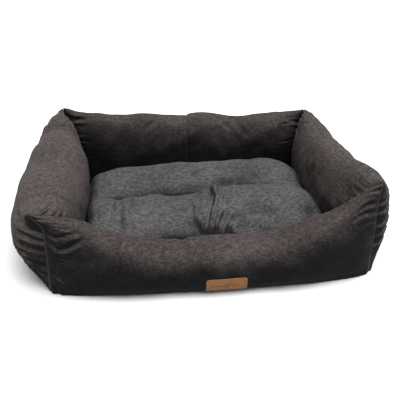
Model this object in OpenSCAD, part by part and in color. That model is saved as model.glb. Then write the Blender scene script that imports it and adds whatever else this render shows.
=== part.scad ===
// Rectangular pet cushion bed: four stuffed bolster walls sewn together at the corners round a padded
// floor, with a loose two-lobe cushion that lifts out. Millimetres, +Z up. The origin is on the ground
// under the middle of the bed, +X runs along the long side to the right and +Y runs to the back.

/* [Bed] */
// Distance between the corner seams along the long side
corner_pitch_x = 640; // [600:5:680]
// Distance between the corner seams along the short side
corner_pitch_y = 540; // [500:5:580]
// Thickness of the cover fabric
fabric_t = 1.5; // [1:0.1:2]
// Thickness of the non-slip sheet underneath
underside_t = 1.5; // [1:0.1:2.5]
// Thickness of the wadding in the floor
wadding_t = 10; // [6:1:12]

/* [Corner tips] */
// Height of the front left tip
front_left_tip = 176; // [165:1:185]
// Height of the front right tip
front_right_tip = 203; // [190:1:210]
// Height of the back left tip
back_left_tip = 207; // [195:1:215]
// Height of the back right tip
back_right_tip = 181; // [170:1:195]

/* [Walls] */
// Height of the front wall's dip
front_height = 95; // [85:1:105]
// Height of the back wall at its middle
back_height = 175; // [165:1:185]
// Height of the left wall at its middle
left_height = 174; // [165:1:185]
// Height of the right wall at its middle
right_height = 174; // [165:1:185]
// How far the front wall swells outwards
front_swell_out = 56; // [45:1:65]
// How far the back wall swells outwards
back_swell_out = 66; // [55:1:75]
// How far the left wall swells outwards
left_swell_out = 84; // [70:1:90]
// How far the right wall swells outwards
right_swell_out = 68; // [55:1:80]
// How far the front wall swells inwards
front_swell_in = 44; // [35:1:50]
// How far the back wall swells inwards
back_swell_in = 60; // [50:1:66]
// How far the left wall swells inwards
left_swell_in = 66; // [55:1:72]
// How far the right wall swells inwards
right_swell_in = 54; // [45:1:60]

/* [Loose cushion] */
// Length of the cushion
cushion_l = 511; // [470:1:513]
// Width of the cushion from front to back
cushion_w = 412; // [390:1:413]
// Height of the cushion's crowns above the ground
cushion_top = 112; // [95:1:116]
// Height of the cushion's edge seam above the ground
cushion_seam_z = 40; // [34:1:46]
// Height of the sewn channel between the two lobes
channel_z = 42; // [34:1:60]
// How far the channel stands behind the cushion's middle
channel_back = 20; // [0:1:30]

/* [Zip] */
// Length of the zip along the cushion's back edge
zip_l = 400; // [360:5:400]
// Length of the zip's pull tab
pull_l = 16; // [12:1:18]

/* [Label] */
// Width of the leather label
label_w = 80; // [70:1:100]
// Height of the leather label
label_h = 33; // [26:1:36]
// Place of the label's middle, to the right of the middle of the bed
label_x = 26; // [-60:2:120]

/* [Hidden] */

wall_colour = "#4b4543";
cushion_colour = "#5b595b";
filling_colour = "#e8e4dc";
thread_colour = "#353131";

RINGS = 16;        // stations along a wall
SIDES = 12;        // steps round half a wall's section
GRID = 16;         // steps each way over the cushion
gap = 0.3;         // clearance between a filling and its cover
seam_r = 3.5;      // half the thickness of a corner seam

// The middle of the corner seams, placed so that the origin is in the middle of the bed's box.
mid_x = (left_swell_out - right_swell_out) / 2;
mid_y = (front_swell_out - back_swell_out) / 2;
x_left = mid_x - corner_pitch_x / 2;
x_right = mid_x + corner_pitch_x / 2;
y_front = mid_y - corner_pitch_y / 2;
y_back = mid_y + corner_pitch_y / 2;
base_z = underside_t;                        // the walls stand on the non-slip sheet
floor_z = base_z + wadding_t + fabric_t;     // top of the bed's inside floor

// A wall is [start corner, end corner, outward direction, start tip, end tip, middle height, swell out,
// swell in, sharpness of the rise to the tips, sideways lean of the crest].
front_wall = [[x_left, y_front], [x_right, y_front], [0, -1], front_left_tip, front_right_tip,
              front_height, front_swell_out, front_swell_in, 2.4, 6];
back_wall = [[x_left, y_back], [x_right, y_back], [0, 1], back_left_tip, back_right_tip,
             back_height, back_swell_out, back_swell_in, 4, -8];
left_wall = [[x_left, y_front], [x_left, y_back], [-1, 0], front_left_tip, back_left_tip,
             left_height, left_swell_out, left_swell_in, 4, 0];
right_wall = [[x_right, y_front], [x_right, y_back], [1, 0], front_right_tip, back_right_tip,
              right_height, right_swell_out, right_swell_in, 4, 0];
WALLS = [front_wall, back_wall, left_wall, right_wall];

waist = 0.46;       // height of a wall's widest line, as a share of its height
under_depth = 0.56; // how far a wall's underside would reach before the ground flattens it
end_n = 3;          // half a wall's thickness at its sewn end

function signed_pow(v, p) = sign(v) * pow(abs(v), p);

// Crest height, outward and inward thickness and plan place of a wall at s, from -1 to 1.
function wall_length(w) = norm(w[1] - w[0]) - 2 * seam_r;
function end_distance(w, s) = seam_r + (1 - abs(s)) * wall_length(w) / 2;
function crest(w, s) =
    w[5] + ((s > 0 ? w[4] : w[3]) - w[5]) * pow(abs(s), w[8]) + w[9] * s * (1 - abs(s));
function thick_out(w, s) = end_n + (w[6] - end_n) * sqrt(max(0, 1 - pow(abs(s), 4)));
function thick_in(w, s) =
    min(end_n + (w[7] - end_n) * sqrt(max(0, 1 - pow(abs(s), 3))), end_distance(w, s) - 0.4);
function on_axis(w, s) =
    let (along = (w[1] - w[0]) / norm(w[1] - w[0]))
    w[0] + along * (seam_r + (s + 1) / 2 * wall_length(w));

// One point of a wall's surface, shrunk by inset; angle -90 is underneath, 0 outside, 90 the crest.
function wall_point(w, s, angle, inset) =
    let (h = crest(w, s) - inset, z_waist = waist * crest(w, s), c = cos(angle), v = sin(angle),
         n = ((c > 0 ? thick_out(w, s) : thick_in(w, s)) - inset) * signed_pow(c, 0.85),
         z = v > 0 ? z_waist + (h - z_waist) * pow(v, 0.95)
                   : z_waist - under_depth * crest(w, s) * pow(-v, 0.8),
         p = on_axis(w, s) + w[2] * n)
    [p[0], p[1], max(z, base_z + inset)];
function wall_sign(w) = (w[2][0] + w[2][1]) * (w[2][0] == 0 ? 1 : -1);
function station(i) = sin(90 * (2 * i / RINGS - 1));

// Faces over a grid of points, rows by cols, whose first point is number first.
function grid_faces(rows, cols, first, flip) =
    [for (i = [0:rows - 2], j = [0:cols - 2])
        let (a = first + i * cols + j, b = a + 1, c = a + cols, d = c + 1)
        each flip ? [[a, b, d], [a, d, c]] : [[a, d, b], [a, c, d]]];

// A closed solid between two grids of points that lie over each other.
module slab(top, under, flip = false) {
    rows = len(top);
    cols = len(top[0]);
    n = rows * cols;
    rim = concat([for (j = [0:cols - 1]) j], [for (i = [1:rows - 1]) i * cols + cols - 1],
                 [for (j = [cols - 2:-1:0]) (rows - 1) * cols + j],
                 [for (i = [rows - 2:-1:1]) i * cols]);
    m = len(rim);
    side = [for (k = [0:m - 1])
        let (a = rim[k], b = rim[(k + 1) % m])
        each flip ? [[a, b + n, b], [a, a + n, b + n]] : [[a, b, b + n], [a, b + n, a + n]]];
    points = concat([for (r = top) each r], [for (r = under) each r]);
    polyhedron(points, concat(grid_faces(rows, cols, 0, flip), grid_faces(rows, cols, n, !flip), side));
}

// A closed solid through rings of points, with flat ends; loop joins the last ring to the first.
module ring_sweep(rings, flip = false, loop = false) {
    n = len(rings[0]);
    m = len(rings);
    sides = [for (i = [0:(loop ? m - 1 : m - 2)], j = [0:n - 1])
        let (a = i * n + j, b = i * n + (j + 1) % n, k = (i + 1) % m * n, c = k + j, d = k + (j + 1) % n)
        each flip ? [[a, b, d], [a, d, c]] : [[a, d, b], [a, c, d]]];
    ends = loop ? [] : [for (j = [0:n - 1])
        let (b = (j + 1) % n, e = (m - 1) * n)
        each flip ? [[m * n, b, j], [m * n + 1, e + j, e + b]] : [[m * n, j, b], [m * n + 1, e + b, e + j]]];
    middles = loop ? [] : [middle(rings[0]), middle(rings[m - 1])];
    polyhedron(concat([for (r = rings) each r], middles), concat(sides, ends));
}
function total(list, i = 0) = i == len(list) - 1 ? list[i] : list[i] + total(list, i + 1);
function middle(ring) = total(ring) / len(ring);

// Half of a wall's cover: the outer panel from underneath to the crest, or the inner one.
module wall_panel(w, outer) {
    from = outer ? -90 : 90;
    angles = [for (j = [0:SIDES]) from + 180 * j / SIDES];
    layer = function (inset) [for (i = [0:RINGS]) [for (a = angles) wall_point(w, station(i), a, inset)]];
    color(wall_colour) slab(layer(0), layer(fabric_t), wall_sign(w) > 0);
}

// The fibre filling inside a wall, through a list of places along it.
module wall_filling(w, places) {
    inset = fabric_t + gap;
    rings = [for (s = places) [for (j = [0:2 * SIDES - 1]) wall_point(w, s, -90 + 180 * j / SIDES, inset)]];
    color(filling_colour) ring_sweep(rings, wall_sign(w) > 0);
}
whole_wall = [for (i = [1:RINGS - 1]) station(i)];

// The fabric web that keeps the back wall's two fillings apart.
module back_wall_divider() {
    web_t = 1;
    inset = fabric_t;
    outline = [for (j = [0:2 * SIDES - 1])
        let (p = wall_point(back_wall, 0, -90 + 180 * j / SIDES, inset)) [p[1], p[2]]];
    color(thread_colour) translate([mid_x - web_t / 2, 0, 0]) rotate([90, 0, 90])
        linear_extrude(web_t) polygon(outline);
}

// The upright seams that pinch two walls together at each corner.
module corner_seams() {
    corners = [[x_left, y_front, front_left_tip], [x_right, y_front, front_right_tip],
               [x_left, y_back, back_left_tip], [x_right, y_back, back_right_tip]];
    color(thread_colour) for (c = corners)
        translate([c[0], c[1], base_z]) cylinder(r = seam_r, h = c[2] - base_z, $fn = 32);
}

// The sewn seam along each wall's crest, where its outer and inner panels meet.
module crest_seams() {
    rib_w = 1.6;
    rib_h = 0.9;
    lift = [0, 0, 0.02];
    color(thread_colour) for (w = WALLS) {
        rings = [for (s = whole_wall)
            let (p = wall_point(w, s, 90, 0) + lift, side = [w[2][0], w[2][1], 0] * rib_w, up = [0, 0, rib_h])
            [p + side, p + up, p - side]];
        ring_sweep(rings, wall_sign(w) > 0);
    }
}

// How far a wall's outer face stands out at a height below its waist.
function face_out(w, s, z) =
    let (h = crest(w, s), v = pow(max(0, waist * h - z) / (under_depth * h), 1 / 0.8))
    thick_out(w, s) * pow(max(0, 1 - v * v), 0.85 / 2);

// The ground outline of the four walls, in order round the bed.
function foot_line(w) =
    [for (i = [0:RINGS]) let (s = station(i)) on_axis(w, s) + w[2] * face_out(w, s, base_z)];

module base_panel_bottom() {
    backwards = function (list) [for (i = [len(list) - 1:-1:0]) list[i]];
    outline = concat(foot_line(front_wall), foot_line(right_wall),
                     backwards(foot_line(back_wall)), backwards(foot_line(left_wall)));
    color("#2a2829") linear_extrude(underside_t) polygon(outline);
}

// The floor between the walls, kept clear of their undersides.
module floor_slab(z, t) {
    clear = 0.9;
    x0 = x_left + clear * left_swell_in + 1;
    x1 = x_right - clear * right_swell_in - 1;
    y0 = y_front + clear * front_swell_in + 1;
    y1 = y_back - clear * back_swell_in - 1;
    translate([x0, y0, z]) cube([x1 - x0, y1 - y0, t]);
}
module base_wadding() {
    color(filling_colour) floor_slab(base_z, wadding_t);
}
module base_panel_top() {
    color(wall_colour) floor_slab(base_z + wadding_t, fabric_t);
}

// A square grid place [u, v] moved so that squares round the middle become rounded rectangles.
function rounded(u, v, power) =
    let (m = max(abs(u), abs(v), 0.001), q = pow(pow(abs(u), power) + pow(abs(v), power), 1 / power))
    [u, v] * m / max(q, 0.001);

label_corner = 8;                     // how square the label's rounded corners are
label_z = 9 + label_h / 2;            // height of the label's middle
function label_point(u, v, out) =
    let (p = rounded(u, v, label_corner), x = label_x + p[0] * label_w / 2, z = label_z + p[1] * label_h / 2,
         s = (x - mid_x) / (wall_length(front_wall) / 2))
    [x, y_front - face_out(front_wall, s, z) - out, z];

module label() {
    steps = 10;
    label_t = 1.8;
    lift = 0.3;
    layer = function (out) [for (j = [0:steps]) [for (i = [0:steps])
        label_point(2 * i / steps - 1, 2 * j / steps - 1, out)]];
    color("#84583a") slab(layer(label_t), layer(lift));
}
module label_stitching() {
    turns = 40;
    inset = 0.88;
    thread = 0.5;
    around = [for (k = [0:turns - 1])
        let (a = 360 * k / turns, m = max(abs(cos(a)), abs(sin(a)))) [cos(a), sin(a)] / m * inset];
    rings = [for (p = around)
        let (q = label_point(p[0], p[1], 2.05), toward = [p[0], 0, p[1]] / norm(p) * thread)
        [q - toward, q + [0, -thread, 0], q + toward]];
    color("#5d3a22") ring_sweep(rings, false, true);
}

// The loose cushion: a rounded rectangle in plan with two crowned lobes and a channel between them.
cushion_rest = floor_z + gap;
cushion_x = (x_left + left_swell_in + x_right - right_swell_in) / 2;
cushion_y = y_front + front_swell_in + 6 + cushion_w / 2;
plan_power = 8;
channel_half_w = 34;
filling_short = 5;                    // how far a filling stops short of each end of its cover
underside_dip = 9;                    // how far the channel lifts the cushion's underside
channel_shift = channel_back / (cushion_w / 2);
function channel_dip(y) = exp(-pow(abs(y - channel_back) / channel_half_w, 1.7));
function cushion_point(u, v, inset, upper) =
    let (p = rounded(u, v, plan_power), m = max(abs(u), abs(v)), y = p[1] * cushion_w / 2,
         plump = sqrt(max(0, 1 - pow(m, upper ? 6 : 12))),
         rim = max(0, inset - fabric_t),       // half the height of a filling's edge
         short = inset > fabric_t ? filling_short : 0,
         crown = cushion_top - inset - cushion_seam_z - rim,
         keel = cushion_seam_z - cushion_rest - inset - rim,
         dip = upper ? (cushion_top - channel_z) : underside_dip,
         rise = (upper ? crown - dip * channel_dip(y) : -keel + dip * channel_dip(y)))
    [cushion_x + p[0] * (cushion_l / 2 - inset - short), cushion_y + p[1] * (cushion_w / 2 - inset),
     cushion_seam_z + (upper ? rim : -rim) + rise * plump];
// Places across the cushion, closest together at its edges and along its channel.
function cross_place(j) = let (t = 2 * j / GRID - 1, q = t - 0.6 * sin(360 * t) / (2 * PI))
    q + channel_shift * (1 - q * q);
function cushion_layer(inset, upper, places) =
    [for (v = places) [for (i = [0:GRID]) cushion_point(station(i * RINGS / GRID), v, inset, upper)]];
whole_cushion = [for (j = [0:GRID]) cross_place(j)];

module cushion_cover(upper) {
    color(cushion_colour)
        slab(cushion_layer(0, upper, whole_cushion), cushion_layer(fabric_t, upper, whole_cushion), !upper);
}
module cushion_filling(places) {
    inset = fabric_t + 2 * gap;        // the channel's steep flanks need more room than a wall does
    color(filling_colour)
        slab(cushion_layer(inset, true, places), cushion_layer(inset, false, places));
}
module channel_stitching() {
    thread_t = 1;
    end_clear = 44;
    z0 = cushion_rest + underside_dip + fabric_t + 2;
    z1 = channel_z - fabric_t - 2 * gap - 2;
    color(thread_colour)
        translate([cushion_x - cushion_l / 2 + end_clear, cushion_y + channel_back - thread_t / 2, z0])
            cube([cushion_l - 2 * end_clear, thread_t, z1 - z0]);
}

// The zip on the cushion's back edge; the tab lies along the teeth when it is closed.
zip_y = cushion_y + cushion_w / 2 + 0.2;
zip_x0 = cushion_x - zip_l / 2;
tape_w = 11;
tape_t = 0.8;
tape_split = 2.4;                      // height of the slit that the coil closes
coil_t = 1.6;
coil_w = 4;
slider_l = 11;
slider_w = 8;
slider_gap = 0.4;                      // clearance between the slider and the coil
slider_t = 1.4;
stop_l = 3;
slider_x = zip_x0 + stop_l + 0.5 + slider_l / 2;   // where the closed slider stands
slider_y = zip_y + tape_t + coil_t + slider_gap;
pin_r = 0.7;
pin_y = slider_y + slider_t + 1.3;     // axis of the pull's bar

module zip_tapes() {
    color("#39373a") for (side = [-1, 1])
        translate([zip_x0, zip_y, cushion_seam_z + side * (tape_w + tape_split) / 2 - tape_w / 2])
            cube([zip_l, tape_t, tape_w]);
}
module zip_coil() {
    color("#2c2a2c") translate([zip_x0 + 4, zip_y + tape_t, cushion_seam_z - coil_w / 2])
        cube([zip_l - 8, coil_t, coil_w]);
}
module zip_stops() {
    color("#8d8a86") for (x = [zip_x0, zip_x0 + zip_l - stop_l])
        translate([x, zip_y + tape_t, cushion_seam_z - coil_w / 2 - 1]) cube([stop_l, coil_t + 0.8, coil_w + 2]);
}
module zip_slider() {
    arch_w = 2;
    arch_in = 5;
    arch_rise = 2.6;
    arch_t = 0.9;
    wing_t = 1;
    wing_h = coil_t + slider_gap - 0.35;
    color("#8d8a86") translate([slider_x, slider_y, cushion_seam_z]) {
        translate([-slider_l / 2, 0, -slider_w / 2]) cube([slider_l, slider_t, slider_w]);
        difference() {
            translate([-arch_in / 2 - arch_t, slider_t - 0.01, -arch_w / 2])
                cube([arch_in + 2 * arch_t, arch_rise + arch_t, arch_w]);
            translate([-arch_in / 2, slider_t - 0.02, -arch_w / 2 - 1])
                cube([arch_in, arch_rise, arch_w + 2]);
        }
        for (side = [-1, 1])
            translate([-slider_l / 2, -wing_h, side * (coil_w / 2 + slider_gap + wing_t / 2) - wing_t / 2])
                cube([slider_l, wing_h + slider_t, wing_t]);
    }
}
module zip_pull() {
    arm = 0.9;
    arm_z = 1.6;                       // inner face of each arm, clear of the arch
    tab_start = 5.2;                   // the tab begins beyond the arch's foot
    tab_t = 1;
    tab_w = 6;
    color("#a19d98") translate([slider_x, pin_y, cushion_seam_z]) {
        translate([0, 0, -arm_z - arm]) cylinder(r = pin_r, h = 2 * (arm_z + arm), $fn = 24);
        for (side = [-1, 1])
            translate([0, -tab_t / 2, side * (arm_z + arm / 2) - arm / 2]) cube([tab_start + 1, tab_t, arm]);
        translate([tab_start, -tab_t / 2, -tab_w / 2]) cube([pull_l - tab_start, tab_t, tab_w]);
    }
}

module front_outer_panel() { wall_panel(front_wall, true); }
module front_inner_panel() { wall_panel(front_wall, false); }
module back_outer_panel() { wall_panel(back_wall, true); }
module back_inner_panel() { wall_panel(back_wall, false); }
module left_outer_panel() { wall_panel(left_wall, true); }
module left_inner_panel() { wall_panel(left_wall, false); }
module right_outer_panel() { wall_panel(right_wall, true); }
module right_inner_panel() { wall_panel(right_wall, false); }
divider_clear = 0.005;                 // share of the half length that keeps the fillings off their web
half_wall = [for (i = [RINGS / 2 + 1:RINGS - 1]) station(i)];
module front_wall_filling() { wall_filling(front_wall, whole_wall); }
module back_wall_filling_left() {
    wall_filling(back_wall, concat([for (i = [1:RINGS / 2 - 1]) station(i)], [-divider_clear]));
}
module back_wall_filling_right() { wall_filling(back_wall, concat([divider_clear], half_wall)); }
module left_wall_filling() { wall_filling(left_wall, whole_wall); }
module right_wall_filling() { wall_filling(right_wall, whole_wall); }
lobe_edge = 0.01;                      // share of the half width that keeps each lobe off the channel
module cushion_cover_top() { cushion_cover(true); }
module cushion_cover_bottom() { cushion_cover(false); }
module cushion_filling_front() {
    cushion_filling(concat([for (j = [0:GRID / 2 - 1]) cross_place(j)], [channel_shift - lobe_edge]));
}
module cushion_filling_back() {
    cushion_filling(concat([channel_shift + lobe_edge], [for (j = [GRID / 2 + 1:GRID]) cross_place(j)]));
}

front_outer_panel();
front_inner_panel();
back_outer_panel();
back_inner_panel();
left_outer_panel();
left_inner_panel();
right_outer_panel();
right_inner_panel();
front_wall_filling();
back_wall_filling_left();
back_wall_filling_right();
left_wall_filling();
right_wall_filling();
back_wall_divider();
corner_seams();
crest_seams();
base_panel_bottom();
base_wadding();
base_panel_top();
label();
label_stitching();
cushion_cover_top();
cushion_cover_bottom();
cushion_filling_front();
cushion_filling_back();
channel_stitching();
zip_tapes();
zip_coil();
zip_stops();
zip_slider();
zip_pull();
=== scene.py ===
"""Looks of the pet cushion bed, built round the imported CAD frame.

Four stuffed walls and a loose two-lobe cushion are modelled as closed skins on regular grids. Each skin
starts from its design shape, is inflated by a cloth simulation that has spare fabric where seams gather
it, and then takes its seams and creases. Lengths below are in millimetres unless a name says otherwise.
"""

import math

import bpy
import numpy as np
from mathutils import Matrix, Vector
from mathutils.bvhtree import BVHTree


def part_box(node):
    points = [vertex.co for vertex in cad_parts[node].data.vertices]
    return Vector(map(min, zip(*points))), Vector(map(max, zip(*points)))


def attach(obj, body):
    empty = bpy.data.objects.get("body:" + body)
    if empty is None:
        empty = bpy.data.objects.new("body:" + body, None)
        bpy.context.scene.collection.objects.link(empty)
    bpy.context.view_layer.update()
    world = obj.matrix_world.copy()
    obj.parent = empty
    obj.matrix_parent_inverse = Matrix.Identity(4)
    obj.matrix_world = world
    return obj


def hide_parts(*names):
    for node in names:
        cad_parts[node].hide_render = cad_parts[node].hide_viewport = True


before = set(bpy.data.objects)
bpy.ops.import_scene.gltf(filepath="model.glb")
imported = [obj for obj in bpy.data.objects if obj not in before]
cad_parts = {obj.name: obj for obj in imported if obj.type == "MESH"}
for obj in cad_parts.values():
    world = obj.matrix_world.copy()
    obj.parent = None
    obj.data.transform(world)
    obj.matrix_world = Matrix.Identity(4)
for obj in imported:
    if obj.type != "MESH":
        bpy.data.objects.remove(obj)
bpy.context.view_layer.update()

MM = 0.001


# ---------------------------------------------------------------- sizes read from the frame

def node_box(name):
    """Lowest and highest corner of a CAD node, in millimetres."""
    low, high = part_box(name)
    return np.array(low) / MM, np.array(high) / MM


def node_size(name):
    low, high = node_box(name)
    return high - low


def node_points(name):
    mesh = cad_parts[name].data
    points = np.zeros(len(mesh.vertices) * 3)
    mesh.vertices.foreach_get("co", points)
    return points.reshape(-1, 3) / MM


def bell(x, width):
    """A smooth bump that is 1 where x is 0 and fades over width."""
    return np.exp(-(x / width) ** 2)


SEAM_LOW, SEAM_HIGH = node_box("corner_seams")
SEAM_R = 3.5                               # radius of the CAD corner seams
X_LEFT, Y_FRONT = SEAM_LOW[:2] + SEAM_R
X_RIGHT, Y_BACK = SEAM_HIGH[:2] - SEAM_R
BASE_Z = node_box("base_panel_bottom")[1][2]
MIDDLE = np.array([(X_LEFT + X_RIGHT) / 2, (Y_FRONT + Y_BACK) / 2])


def tip_height(x, y):
    """Height of the corner tip whose seam stands at x, y."""
    points = node_points("corner_seams")
    near = np.hypot(points[:, 0] - x, points[:, 1] - y) < 2 * SEAM_R
    return points[near, 2].max()


def middle_height(node, axis):
    """Height of a wall's crest half way along it."""
    points = node_points(node)
    off = np.abs(points[:, axis] - MIDDLE[axis])
    return points[off < off.min() + 0.5, 2].max()


# ---------------------------------------------------------------- the walls' design shape

WAIST = 0.46            # height of the widest line, as a share of the wall's height
UNDER_DEPTH = 0.56      # how far the underside would reach before the ground flattens it
END_GAP = 0.8           # a wall's sewn end stands this far from the corner line
END_N = 2.2             # half of a wall's thickness at its sewn end
TUCK_REACH = 130        # how far along a wall the tuck at its foot is felt


class Wall:
    """One stuffed wall between two corner seams. A place s along it runs from -1 to 1.

    The crest climbs to its tips with the power rise, tilts by lean, and has bumps of (place, lift, width as
    a share of the half length). fill is the outer side's share of the CAD's swell and the power of its ends,
    shoulder is the power of its roundness, and tuck draws in its foot at each end. roll turns the crest seam
    outward, spare is the extra fabric at the ends, folds limits the depth of the simulation's folds, and
    seams are the places of upright seams.
    """

    def __init__(self, name, start, end, out, rise, lean, bumps, seed, spare,
                 roll=0, fill=(1, 4), shoulder=0.85, tuck=(0.2, 0.2), folds=3.5, seams=()):
        axis = 0 if out[0] == 0 else 1
        self.name = name
        self.start, self.end, self.out = np.array(start), np.array(end), np.array(out, float)
        self.along = (self.end - self.start) / np.linalg.norm(self.end - self.start)
        self.length = np.linalg.norm(self.end - self.start) - 2 * END_GAP
        self.full = self.length + 2 * END_GAP
        self.tips = tip_height(*start), tip_height(*end)
        self.height = middle_height(name + "_outer_panel", axis)
        self.swell_out = node_size(name + "_outer_panel")[1 - axis]
        self.swell_in = node_size(name + "_inner_panel")[1 - axis]
        self.rise, self.lean, self.bumps = rise, lean, bumps
        self.seed, self.spare, self.roll, self.fill = seed, spare, roll, fill
        self.shoulder, self.tuck, self.folds, self.seams = shoulder, tuck, folds, seams
        self.flip = (self.along[0] * self.out[1] - self.along[1] * self.out[0]) > 0

    def crest(self, s):
        tips = np.where(s > 0, self.tips[1], self.tips[0])
        height = self.height + (tips - self.height) * np.abs(s) ** self.rise
        height = height + self.lean * s * (1 - np.abs(s))
        for place, lift, width in self.bumps:
            height = height + lift * bell(s - place, width)
        return height

    def end_distance(self, s):
        return END_GAP + (1 - np.abs(s)) * self.length / 2

    def place(self, s):
        """Distance along the wall from its first corner."""
        return END_GAP + (s + 1) / 2 * self.length

    def section(self, s, angle):
        """Outward distance and height of the skin: angle -90 is underneath, 0 outside and 90 the crest."""
        crest = self.crest(s)
        swell_out, fullness = self.swell_out * self.fill[0], self.fill[1]
        thick_out = END_N + (swell_out - END_N) * math.sqrt(max(0, 1 - abs(s) ** fullness))
        thick_in = END_N + (self.swell_in - END_N) * math.sqrt(max(0, 1 - abs(s) ** 3))
        thick_in = min(thick_in, self.end_distance(s) - 0.4)
        c, v = np.cos(angle), np.sin(angle)
        under = np.clip(-v, 0, 1)
        tuck = 1 - self.tuck[int(s > 0)] * under * math.exp(-self.end_distance(s) / TUCK_REACH)
        power = self.shoulder + 0.35 * under
        outside = thick_out * tuck * (1 - 0.25 * under ** 2) * np.abs(c) ** power
        n = np.where(c > 0, outside, -thick_in * np.abs(c) ** 0.85)
        upper = crest * (WAIST + (1 - WAIST) * np.abs(v) ** 0.95)
        lower = crest * (WAIST - UNDER_DEPTH * np.abs(v) ** 0.8)
        return n, np.maximum(np.where(v > 0, upper, lower), BASE_Z)

    def seam_shift(self, place):
        """How far the crest seam has rolled outward from the top of the wall."""
        rolled = np.interp(place / self.length, (0, 0.15, 0.45, 0.7, 0.9, 1), (0, 0, 0.55, 1, 0.6, 0))
        return self.roll * rolled

    def world(self, place, n, z):
        """Points from distance along the wall, outward distance and height."""
        xy = self.start + self.along * place[..., None] + self.out * n[..., None]
        return np.concatenate([xy, z[..., None]], axis=-1)

    def local(self, points):
        """Distance along the wall, outward distance and height of points."""
        rel = points[..., :2] - self.start
        return rel @ self.along, rel @ self.out, points[..., 2]

    def from_end(self, place):
        return np.minimum(place, self.full - place)


WALLS = [
    Wall("front", (X_LEFT, Y_FRONT), (X_RIGHT, Y_FRONT), (0, -1), rise=2.4, lean=6, seed=11, spare=0.3,
         bumps=[(-0.8, 8, 0.14), (-0.25, 4, 0.3), (0.15, 3, 0.25), (0.62, -3, 0.12), (-0.19, -5, 0.02)],
         shoulder=0.72, folds=0.6),
    Wall("back", (X_LEFT, Y_BACK), (X_RIGHT, Y_BACK), (0, 1), rise=4, lean=-8, seed=12, spare=0.2,
         bumps=[(-0.33, 4, 0.16), (-0.03, -3, 0.06), (0.09, 6, 0.12), (0.42, -6, 0.16)],
         folds=1.6, seams=(0,)),
    Wall("left", (X_LEFT, Y_FRONT), (X_LEFT, Y_BACK), (-1, 0), rise=4, lean=0, seed=13, spare=0.3,
         bumps=[(0.72, -5, 0.08), (0.3, 3, 0.15), (-0.4, 6, 0.35)], roll=20, fill=(1.02, 5), shoulder=0.76,
         tuck=(1, 0.2)),
    Wall("right", (X_RIGHT, Y_FRONT), (X_RIGHT, Y_BACK), (1, 0), rise=4, lean=0, seed=14, spare=0.3,
         bumps=[(0.4, -6, 0.25), (-0.2, -2, 0.1), (-0.62, 20, 0.27)], fill=(0.78, 6), shoulder=0.7,
         tuck=(0.3, 0.25)),
]

FINE_STEP, COARSE_STEP = 3.5, 8
RING_POINTS = 144       # points round a wall: underneath, up the outside, over the crest and down the inside
CREST = RING_POINTS // 2
SECTION_POINTS = 181
GATHER_REACH = 55       # how far from a wall's sewn ends the gathers reach


def stations(wall):
    """Places along a wall, from -1 to 1: fine near the seams and coarse between them."""
    seams = [0, wall.length] + [(1 + p) / 2 * wall.length for p in wall.seams]
    places = [0.0]
    while places[-1] < wall.length:
        near = min(abs(places[-1] - q) for q in seams)
        places.append(places[-1] + FINE_STEP + (COARSE_STEP - FINE_STEP) * min(1, near / 80))
    places = np.array(places) * wall.length / places[-1]
    return places / wall.length * 2 - 1


def distance_run(points):
    """Distance of each point of a line from its first one, along it."""
    return np.r_[0, np.cumsum(np.linalg.norm(np.diff(points, axis=0), axis=1))]


def even_line(points, count):
    """A line of points again, evenly spaced, with both its ends."""
    run = distance_run(points)
    t = np.linspace(0, run[-1], count)
    return np.stack([np.interp(t, run, points[:, k]) for k in range(3)], axis=1)


def ring_lengths(rings):
    closed = np.concatenate([rings, rings[:, :1]], axis=1)
    return np.linalg.norm(np.diff(closed, axis=1), axis=2).sum(1)


def design_rings(wall):
    s = stations(wall)
    rings = []
    for q in s:
        halves = []
        for first, last in ((-90, 90), (90, 270)):
            angles = np.radians(np.linspace(first, last, SECTION_POINTS))
            points = wall.world(np.full(SECTION_POINTS, wall.place(q)), *wall.section(q, angles))
            halves.append(even_line(points, CREST + 1)[:-1])
        rings.append(np.vstack(halves))
    return s, np.array(rings)


def seed_gathers(wall, s, rings):
    """The rings with small ripples at the ends, so that spare fabric starts to fold there."""
    rng = np.random.default_rng(wall.seed)
    rippled = rings.copy()
    outward = rings - rings.mean(1, keepdims=True)
    outward /= np.linalg.norm(outward, axis=2, keepdims=True) + 1e-6
    distance = wall.end_distance(s)
    fade = 3 * np.exp(-distance / GATHER_REACH) * (1 - np.exp(-distance / 12))
    for half in (s < 0, s >= 0):
        phase = np.cumsum(rng.uniform(0.6, 1.6, RING_POINTS) * 2 * math.pi * 0.36)
        ripple = np.sin(phase) * rng.uniform(0.4, 1.3, RING_POINTS)
        rippled[half] += outward[half] * ripple[None, :, None] * fade[half][:, None, None]
    return rippled


def spare_rings(wall, s, rings):
    """The fabric's size before it was sewn: rings longer than the wall's where the seams gather them."""
    gather = 1.01 + wall.spare * np.exp(-wall.end_distance(s) / GATHER_REACH)
    middle = rings.mean(1, keepdims=True)
    return middle + (rings - middle) * gather[:, None, None]


# ---------------------------------------------------------------- meshes and cloth

CLOTH_FRAMES = 28


def new_mesh(name, points, faces):
    """A mesh from points in millimetres."""
    mesh = bpy.data.meshes.new(name)
    mesh.from_pydata((np.asarray(points).reshape(-1, 3) * MM).tolist(), [], faces)
    return mesh


def new_object(name, data):
    made = bpy.data.objects.new(name, data)
    bpy.context.scene.collection.objects.link(made)
    return made


def add_piece(name, points, faces, body):
    """A smooth piece that rides on a body of the frame."""
    mesh = new_mesh(name, points, faces)
    mesh.validate()
    mesh.update()
    mesh.polygons.foreach_set("use_smooth", np.ones(len(mesh.polygons), bool))
    piece = new_object(name, mesh)
    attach(piece, body)
    return piece


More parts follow.
